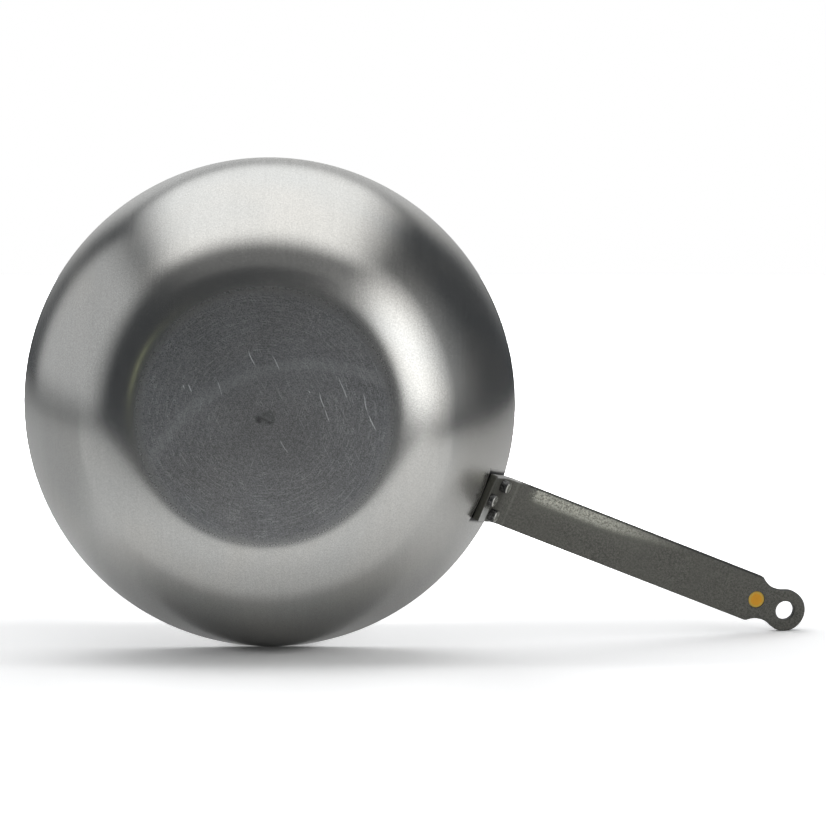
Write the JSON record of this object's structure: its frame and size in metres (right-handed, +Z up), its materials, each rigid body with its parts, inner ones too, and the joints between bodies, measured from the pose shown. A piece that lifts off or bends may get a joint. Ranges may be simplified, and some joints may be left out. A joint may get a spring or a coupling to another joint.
{
  "type": "flat-bottomed wok",
  "caption": "Round flat-bottomed steel wok with a riveted strip handle that ends in a hanging eye.",
  "frame": {"origin": "middle of the flat base's underside", "axes": "+Z up out of the open bowl, +X from the bowl's axis towards the handle's eye"},
  "size_m": [0.5448, 0.3196, 0.1458],
  "materials": {
    "bare_steel": "satin",
    "handle_coat": "fine textured coat",
    "rivet_steel": "satin",
    "disc_plastic": "satin"
  },
  "bodies": {
    "root": {"wok_body": "bare_steel", "handle": "handle_coat", "rivet_high_left": "rivet_steel", "rivet_high_right": "rivet_steel", "rivet_low": "rivet_steel", "handle_disc": "disc_plastic"}
  },
  "joints": []
}
